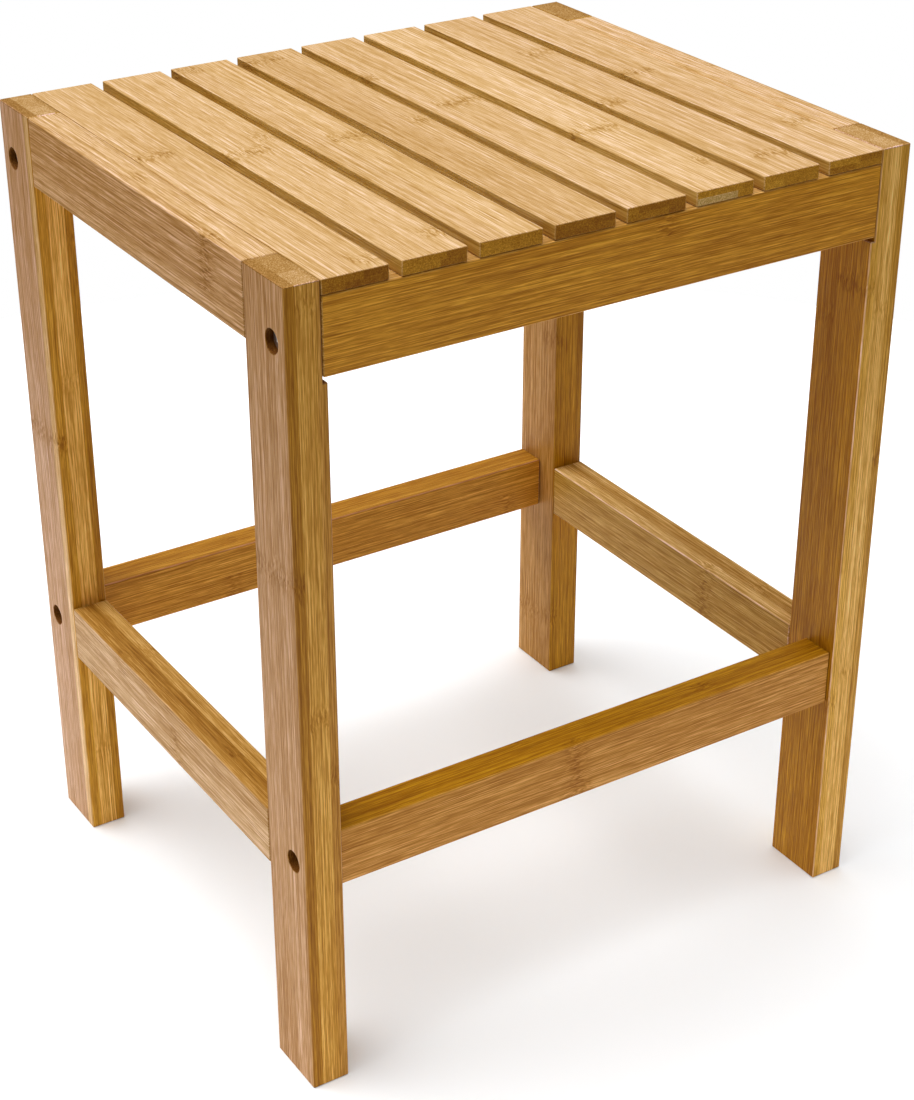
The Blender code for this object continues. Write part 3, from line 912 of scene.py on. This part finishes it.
class STOOL_OT_stretchers(bpy.types.Operator):
    """Make the front and back stretchers"""

    bl_idname = "stool.stretchers"
    bl_label = "Stretchers"

    def execute(self, context):
        _, finish, _ = settings()
        material = bamboo("Bamboo stretcher", finish.stretcher_face, finish.stretcher_edge,
                          finish.board_end)
        # Tone and warmth of the whole board, warmth of its faces, and its knuckles
        kinds = {"front": (0.0, 0.0, 0.0, {(0, 0): (-0.013,), (0, 1): (-0.015,)}),
                 "back": (-0.04, 38.0, -45.0, None)}
        for end, (tone, warmth, face_warmth, knuckles) in kinds.items():
            board = Board(f"stretcher_{end}", Z, Y, X, CROSS_PLIES, (0.03, -0.06, 0.0),
                          knuckles=knuckles, tone=tone, warmth=warmth,
                          face_looks=((0.0, face_warmth), (0.0, face_warmth)))
            make_board(board, material)
        return {"FINISHED"}


# ---------------------------------------------------------------- repeated pieces

# Flats round each round shape
HOLE_SIDES = 16
DOWEL_SIDES = 24
HEAD_SIDES = 40
SHANK_SIDES = 28
BARREL_SIDES = 32
SOCKET_SIDES = 6


def geometry_tree(name, sizes):
    """An empty geometry tree with a named input for each size, and one for the material."""
    inputs = [("Geometry", "NodeSocketGeometry")]
    inputs += [(size, "NodeSocketInt" if isinstance(value, int) else "NodeSocketFloat")
               for size, value in sizes.items()]
    inputs.append(("Material", "NodeSocketMaterial"))
    return new_tree(name, "GeometryNodeTree", inputs, [("Geometry", "NodeSocketGeometry")])


def realized(tree, shape):
    """Instances made real."""
    return add_node(tree, "GeometryNodeRealizeInstances", {0: shape}).outputs[0]


def close_tree(tree, shape, entry, end):
    """Ends a geometry tree: instances made real, material set."""
    done = add_node(tree, "GeometryNodeSetMaterial",
                    {0: realized(tree, shape), "Material": entry["Material"]})
    tree.links.new(done.outputs[0], end["Geometry"])


def block(tree, width, depth, height):
    """A block round the origin."""
    return add_node(tree, "GeometryNodeMeshCube",
                    {"Size": joined(tree, width, depth, height)}).outputs["Mesh"]


def rod(tree, diameter, depth, sides, lift=0.0):
    """A round rod up the Z axis, its middle lifted by a number."""
    shape = add_node(tree, "GeometryNodeMeshCylinder",
                     {"Vertices": sides, "Radius": times(tree, diameter, 0.5),
                      "Depth": depth}).outputs["Mesh"]
    return moved(tree, shape, joined(tree, 0.0, 0.0, lift))


def moved(tree, shape, place, turn=(0.0, 0.0, 0.0)):
    """A shape put in another place."""
    return add_node(tree, "GeometryNodeTransform",
                    {"Geometry": shape, "Translation": place, "Rotation": turn}).outputs[0]


def slat_row(tree, entry, depth, height):
    """A row of points, one over each slat."""
    steps = sums(tree, "SUBTRACT", entry["Count"], 1.0)
    first = times(tree, times(tree, steps, entry["Pitch"]), -0.5)
    return add_node(tree, "GeometryNodeMeshLine",
                    {"Count": entry["Count"], "Start Location": joined(tree, first, depth, height),
                     "Offset": joined(tree, entry["Pitch"], 0.0, 0.0)}, mode="OFFSET").outputs[0]


def copied(tree, points, shape, turn=None):
    """A shape on every point."""
    feeds = {"Points": points, "Instance": shape}
    if turn:
        feeds["Rotation"] = turn
    return add_node(tree, "GeometryNodeInstanceOnPoints", feeds).outputs[0]


def gathered(tree, *shapes):
    """Several shapes in one."""
    node = tree.nodes.new("GeometryNodeJoinGeometry")
    for shape in shapes:
        tree.links.new(shape, node.inputs[0])
    return node.outputs[0]


def carved(tree, shape, cutters, operation="DIFFERENCE"):
    """A shape with cutters taken away, or joined to them."""
    node = add_node(tree, "GeometryNodeMeshBoolean", operation=operation, solver="EXACT")
    if operation == "DIFFERENCE":
        tree.links.new(shape, node.inputs["Mesh 1"])
        tree.links.new(cutters, node.inputs["Mesh 2"])
    else:
        tree.links.new(gathered(tree, shape, cutters), node.inputs["Mesh 2"])
    return node.outputs["Mesh"]


def dowel_points(tree, entry, height):
    """Points over the dowels: one row at the front and one at the back."""
    rows = [slat_row(tree, entry, times(tree, entry["Row distance"], end), height)
            for end in (-1.0, 1.0)]
    return gathered(tree, *rows)


def slat_tree(sizes):
    """Slats side by side, with blind holes for their dowels underneath."""
    tree, entry, end = geometry_tree("Seat slats", sizes)
    half = times(tree, entry["Thickness"], 0.5)
    middle = sums(tree, "SUBTRACT", entry["Seat height"], half)
    slat = block(tree, entry["Width"], entry["Length"], entry["Thickness"])
    slats = realized(tree, copied(tree, slat_row(tree, entry, 0.0, middle), slat))
    underside = sums(tree, "SUBTRACT", entry["Seat height"], entry["Thickness"])
    depth = times(tree, entry["Hole depth"], 2.0)
    hole = rod(tree, entry["Hole diameter"], depth, HOLE_SIDES)
    holes = realized(tree, copied(tree, dowel_points(tree, entry, underside), hole))
    close_tree(tree, carved(tree, slats, holes), entry, end)
    return tree


def dowel_tree(sizes):
    """A dowel at each end of each slat."""
    tree, entry, end = geometry_tree("Slat dowels", sizes)
    points = dowel_points(tree, entry, entry["Middle height"])
    pin = rod(tree, entry["Diameter"], entry["Length"], DOWEL_SIDES)
    close_tree(tree, copied(tree, points, pin), entry, end)
    return tree


def bolt_tree(sizes):
    """A socket-head bolt on each point, from the face of its head inward."""
    tree, entry, end = geometry_tree("Socket-head bolts", sizes)
    half_head = times(tree, entry["Head height"], 0.5)
    head = rod(tree, entry["Head diameter"], entry["Head height"], HEAD_SIDES, half_head)
    reach = sums(tree, "SUBTRACT", entry["Length"], half_head)
    lift = sums(tree, "MULTIPLY_ADD", reach, 0.5, half_head)
    shank = rod(tree, entry["Shank diameter"], reach, SHANK_SIDES, lift)
    across = sums(tree, "DIVIDE", entry["Socket width"], math.cos(math.pi / SOCKET_SIDES))
    socket = rod(tree, across, times(tree, entry["Socket depth"], 2.0), SOCKET_SIDES)
    whole = carved(tree, carved(tree, head, shank, "UNION"), socket)
    inward = add_node(tree, "GeometryNodeInputNamedAttribute", {"Name": "inward"},
                      data_type="FLOAT_VECTOR").outputs["Attribute"]
    turn = add_node(tree, "FunctionNodeAlignRotationToVector", {"Vector": inward},
                    axis="Z").outputs[0]
    close_tree(tree, copied(tree, entry["Geometry"], whole, turn), entry, end)
    return tree


def nut_tree(sizes):
    """An upright barrel nut on each point, bored across and slotted in its lower end."""
    tree, entry, end = geometry_tree("Barrel nuts", sizes)
    barrel = rod(tree, entry["Diameter"], entry["Length"], BARREL_SIDES)
    through = times(tree, entry["Diameter"], 2.0)
    bore = moved(tree, rod(tree, entry["Bore"], through, SHANK_SIDES), (0.0, 0.0, 0.0),
                 (0.0, math.pi / 2, 0.0))
    slot = block(tree, through, entry["Slot width"], times(tree, entry["Slot depth"], 2.0))
    bottom = times(tree, entry["Length"], -0.5)
    slot = moved(tree, slot, joined(tree, 0.0, 0.0, bottom))
    whole = carved(tree, carved(tree, barrel, bore), slot)
    close_tree(tree, copied(tree, entry["Geometry"], whole), entry, end)
    return tree


def grown(name, build, sizes, material, points=(), inward=(), arris=0.0, segments=2):
    """Runs a geometry tree and gives a plain mesh with rounded edges."""
    mesh = bpy.data.meshes.new(name)
    mesh.from_pydata([tuple(point) for point in points], [], [])
    if inward:
        layer = mesh.attributes.new("inward", "FLOAT_VECTOR", "POINT")
        layer.data.foreach_set("vector", [part for vector in inward for part in vector])
    item = new_object(name, mesh)
    modifier = item.modifiers.new(name, "NODES")
    tree = build(sizes)
    values = dict(sizes, Material=material)
    modifier.node_group = tree
    for socket in tree.interface.items_tree:
        if socket.in_out == "INPUT" and socket.name in values:
            modifier[socket.identifier] = values[socket.name]
    easing = item.modifiers.new("Eased edges", "BEVEL")
    easing.width = arris
    easing.segments = segments
    easing.limit_method = "ANGLE"
    easing.angle_limit = EASED_ANGLE
    plain_mesh(item)
    if not item.data.polygons:
        raise RuntimeError(f"{name} came out empty")
    return item


class STOOL_OT_slats(bpy.types.Operator):
    """Make the seat slats"""

    bl_idname = "stool.slats"
    bl_label = "Seat slats"

    def execute(self, context):
        sizes, finish, _ = settings()
        material = bamboo("Bamboo slat", finish.slat_face, finish.slat_edge, finish.slat_end,
                          contrast=1.05)
        underside = sizes.seat_height - sizes.slat_thickness
        dowel_top = DOWEL_MIDDLE + DOWEL_SIZE.z / 2
        inputs = {
            "Count": sizes.slat_count,
            "Pitch": sizes.slat_width + sizes.drain_gap,
            "Width": sizes.slat_width,
            "Length": sizes.slat_length,
            "Thickness": sizes.slat_thickness,
            "Seat height": sizes.seat_height,
            "Hole diameter": sizes.dowel_diameter + 2 * FIT,
            "Hole depth": dowel_top + FIT - underside,
            "Row distance": DOWEL_ROW,
        }
        item = grown("seat_slats", slat_tree, inputs, material, arris=sizes.slat_arris)
        boards = []
        for name, look, ends in zip(SLATS, SLAT_LOOKS, SLAT_END_LOOKS):
            seam, left, right, tone, warmth = look
            end_tones = dict(zip(((0, 0), (0, 1), (1, 0), (1, 1)), ends[1:]))
            boards.append(Board(name, X, Z, Y, SLAT_PLIES, (-0.05, 0.0), {0: ends[0], 1: seam},
                                {(1, 0): left, (1, 1): right}, tone, warmth,
                                end_tones=end_tones))
        shape = bmesh.new()
        shape.from_mesh(item.data)
        lay_out_bamboo(shape, boards)
        shape.to_mesh(item.data)
        shape.free()
        finish_piece(item, SLATS)
        return {"FINISHED"}


class STOOL_OT_dowels(bpy.types.Operator):
    """Make the dowels that pin the slats"""

    bl_idname = "stool.dowels"
    bl_label = "Slat dowels"

    def execute(self, context):
        sizes, finish, _ = settings()
        inputs = {
            "Count": sizes.slat_count,
            "Pitch": sizes.slat_width + sizes.drain_gap,
            "Diameter": sizes.dowel_diameter,
            "Length": sizes.dowel_length,
            "Middle height": DOWEL_MIDDLE,
            "Row distance": DOWEL_ROW,
        }
        item = grown("slat_dowels", dowel_tree, inputs, hardwood("Dowel hardwood", finish.dowel),
                     arris=0.0005)
        finish_piece(item, DOWELS)
        return {"FINISHED"}


class STOOL_OT_bolts(bpy.types.Operator):
    """Make the bolts with their hexagon sockets"""

    bl_idname = "stool.bolts"
    bl_label = "Bolts"

    def execute(self, context):
        sizes, finish, _ = settings()
        points = []
        inward = []
        for name in BOLTS:
            low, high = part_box(name)
            side = -1.0 if name.endswith("left") else 1.0
            outer = low.x if side < 0 else high.x
            points.append((outer, (low.y + high.y) / 2, (low.z + high.z) / 2))
            inward.append((-side, 0.0, 0.0))
        inputs = {
            "Head diameter": min(BOLT_SIZE.y, BOLT_SIZE.z),
            "Head height": sizes.head_height,
            "Shank diameter": sizes.shank_diameter,
            "Length": BOLT_SIZE.x,
            "Socket width": sizes.socket_width,
            "Socket depth": sizes.socket_depth,
        }
        item = grown("bolts", bolt_tree, inputs, plated_steel("Plated bolt", finish.steel),
                     points, inward, arris=0.0004, segments=3)
        finish_piece(item, BOLTS)
        return {"FINISHED"}


class STOOL_OT_barrel_nuts(bpy.types.Operator):
    """Make the barrel nuts that the bolts screw into"""

    bl_idname = "stool.barrel_nuts"
    bl_label = "Barrel nuts"

    def execute(self, context):
        sizes, finish, _ = settings()
        inputs = {
            "Diameter": min(NUT_SIZE.x, NUT_SIZE.y),
            "Length": NUT_SIZE.z,
            "Bore": sizes.nut_bore,
            "Slot width": sizes.nut_slot_width,
            "Slot depth": sizes.nut_slot_depth,
        }
        item = grown("barrel_nuts", nut_tree, inputs,
                     plated_steel("Plated barrel nut", finish.steel),
                     [centre_of(name) for name in NUTS], arris=0.0003)
        finish_piece(item, NUTS)
        return {"FINISHED"}


# ---------------------------------------------------------------- stage

FLOOR_RADIUS = 0.9            # the paper that the stool stands on and that throws light back
SURROUND_RADIUS = 26.0
BACKDROP_RADIUS = 28.0
CIRCLE_STEPS = 128
WHITE = (1.0, 1.0, 1.0)
# Where each light stands, seen from the stool, and how wide it is in degrees
OVERHEAD_LIGHT = ((-0.10, 0.10, 1.0), 85)
KEY_LIGHT = ((-0.54, 0.347, 0.766), 55)
SENSOR_WIDTH = 36.0


def stage_material(name):
    """A material without a shader, and its tree."""
    material, tree, shader = new_material(name)
    tree.nodes.remove(shader)
    return material, tree


def lit_paper(name, tint, glow_share):
    """Matt, very slightly mottled white paper, lit a little from below."""
    material, tree = stage_material(name)
    place = add_node(tree, "ShaderNodeTexCoord").outputs["Object"]
    shade = mottled(tree, noise(tree, place, (6.0, 6.0, 6.0), 3.0), tint, 0.985)
    matt = add_node(tree, "ShaderNodeBsdfDiffuse", {"Color": shade})
    light = add_node(tree, "ShaderNodeEmission", {"Color": shade, "Strength": glow_share})
    shown_shader(tree, add_node(tree, "ShaderNodeAddShader",
                                {0: matt.outputs[0], 1: light.outputs[0]}))
    return material


def glow(name, tint, strength):
    """An evenly bright backdrop."""
    material, tree = stage_material(name)
    shown_shader(tree, add_node(tree, "ShaderNodeEmission",
                                {"Color": (*tint, 1.0), "Strength": strength}))
    return material


def circle(shape, radius):
    """Corners round a circle on the floor."""
    turns = [math.tau * step / CIRCLE_STEPS for step in range(CIRCLE_STEPS)]
    return [shape.verts.new((radius * math.cos(turn), radius * math.sin(turn), 0.0))
            for turn in turns]


def disc(name, outer, inner=None):
    """A flat round floor, or a ring if it has an inner radius."""
    shape = bmesh.new()
    rim = circle(shape, outer)
    if inner is None:
        shape.faces.new(rim)
    else:
        hole = circle(shape, inner)
        for step in range(CIRCLE_STEPS):
            after = (step + 1) % CIRCLE_STEPS
            shape.faces.new((hole[step], rim[step], rim[after], hole[after]))
    return object_from(name, shape)


def add_sun(name, light, strength):
    """A far, wide light whose shadows are soft."""
    towards, width = light
    data = bpy.data.lights.new(name, "SUN")
    data.energy = strength
    data.angle = math.radians(width)
    item = new_object(name, data)
    item.rotation_euler = Vector(towards).to_track_quat("Z", "Y").to_euler()


class STOOL_OT_stage(bpy.types.Operator):
    """Make the floor, the backdrop, the lights and the camera"""

    bl_idname = "stool.stage"
    bl_label = "Studio stage"

    def execute(self, context):
        _, finish, stage = settings()
        scene = context.scene
        floor = disc("studio_floor", FLOOR_RADIUS)
        floor.data.materials.append(lit_paper("Studio floor", finish.floor, stage.floor_glow))
        surround = disc("studio_surround", SURROUND_RADIUS, FLOOR_RADIUS)
        shape = bmesh.new()
        bmesh.ops.create_icosphere(shape, subdivisions=4, radius=BACKDROP_RADIUS)
        bmesh.ops.reverse_faces(shape, faces=shape.faces)
        backdrop = object_from("studio_backdrop", shape)
        bright = glow("Studio backdrop", WHITE, 1.0)
        for item in (surround, backdrop):
            item.data.materials.append(bright)
            for ray in ("diffuse", "glossy", "transmission", "shadow", "volume_scatter"):
                setattr(item, f"visible_{ray}", False)

        add_sun("overhead_light", OVERHEAD_LIGHT, stage.overhead)
        add_sun("key_light", KEY_LIGHT, stage.key)
        world = bpy.data.worlds.new("Studio fill")
        world.use_nodes = True
        fill = world.node_tree.nodes["Background"]
        fill.inputs["Color"].default_value = (*WHITE, 1.0)
        fill.inputs["Strength"].default_value = stage.ambient
        scene.world = world

        back = Vector((math.sin(stage.azimuth) * math.cos(stage.elevation),
                       -math.cos(stage.azimuth) * math.cos(stage.elevation),
                       math.sin(stage.elevation)))
        data = bpy.data.cameras.new("camera")
        data.lens = stage.lens
        data.sensor_width = SENSOR_WIDTH
        data.sensor_fit = "AUTO"
        camera = new_object("camera", data)
        camera.location = Vector(stage.aim) + back * stage.distance
        camera.rotation_euler = (-back).to_track_quat("-Z", "Y").to_euler()
        scene.camera = camera
        scene.view_settings.view_transform = "Standard"
        scene.view_settings.look = "None"
        return {"FINISHED"}


class STOOL_PT_panel(bpy.types.Panel):
    """Lists the pieces of the stool and their settings"""

    bl_idname = "STOOL_PT_panel"
    bl_label = "Bamboo stool"
    bl_space_type = "VIEW_3D"
    bl_region_type = "UI"
    bl_category = "Stool"

    def draw(self, context):
        layout = self.layout
        for operator in OPERATORS:
            layout.operator(operator.bl_idname)
        for title, group in (("Sizes", context.scene.stool_sizes),
                             ("Finish", context.scene.stool_finish),
                             ("Stage", context.scene.stool_stage)):
            box = layout.box()
            box.label(text=title)
            for name in group.__annotations__:
                box.prop(group, name)


OPERATORS = (STOOL_OT_stage, STOOL_OT_legs, STOOL_OT_side_rails, STOOL_OT_side_stretchers,
             STOOL_OT_aprons, STOOL_OT_stretchers, STOOL_OT_slats, STOOL_OT_dowels,
             STOOL_OT_bolts, STOOL_OT_barrel_nuts)
GROUPS = {"stool_sizes": StoolSizes, "stool_finish": StoolFinish, "stool_stage": StoolStage}


def register():
    """Registers the settings, the operators and the panel."""
    for name, group in GROUPS.items():
        bpy.utils.register_class(group)
        setattr(bpy.types.Scene, name, PointerProperty(type=group))
    for kind in (*OPERATORS, STOOL_PT_panel):
        bpy.utils.register_class(kind)


def unregister():
    """Takes everything that register added away again."""
    for kind in reversed((*OPERATORS, STOOL_PT_panel)):
        bpy.utils.unregister_class(kind)
    for name, group in GROUPS.items():
        delattr(bpy.types.Scene, name)
        bpy.utils.unregister_class(group)


def main():
    """Builds the stage and every piece."""
    register()
    for operator in OPERATORS:
        family, name = operator.bl_idname.split(".")
        getattr(getattr(bpy.ops, family), name)()


if __name__ == "__main__":
    main()
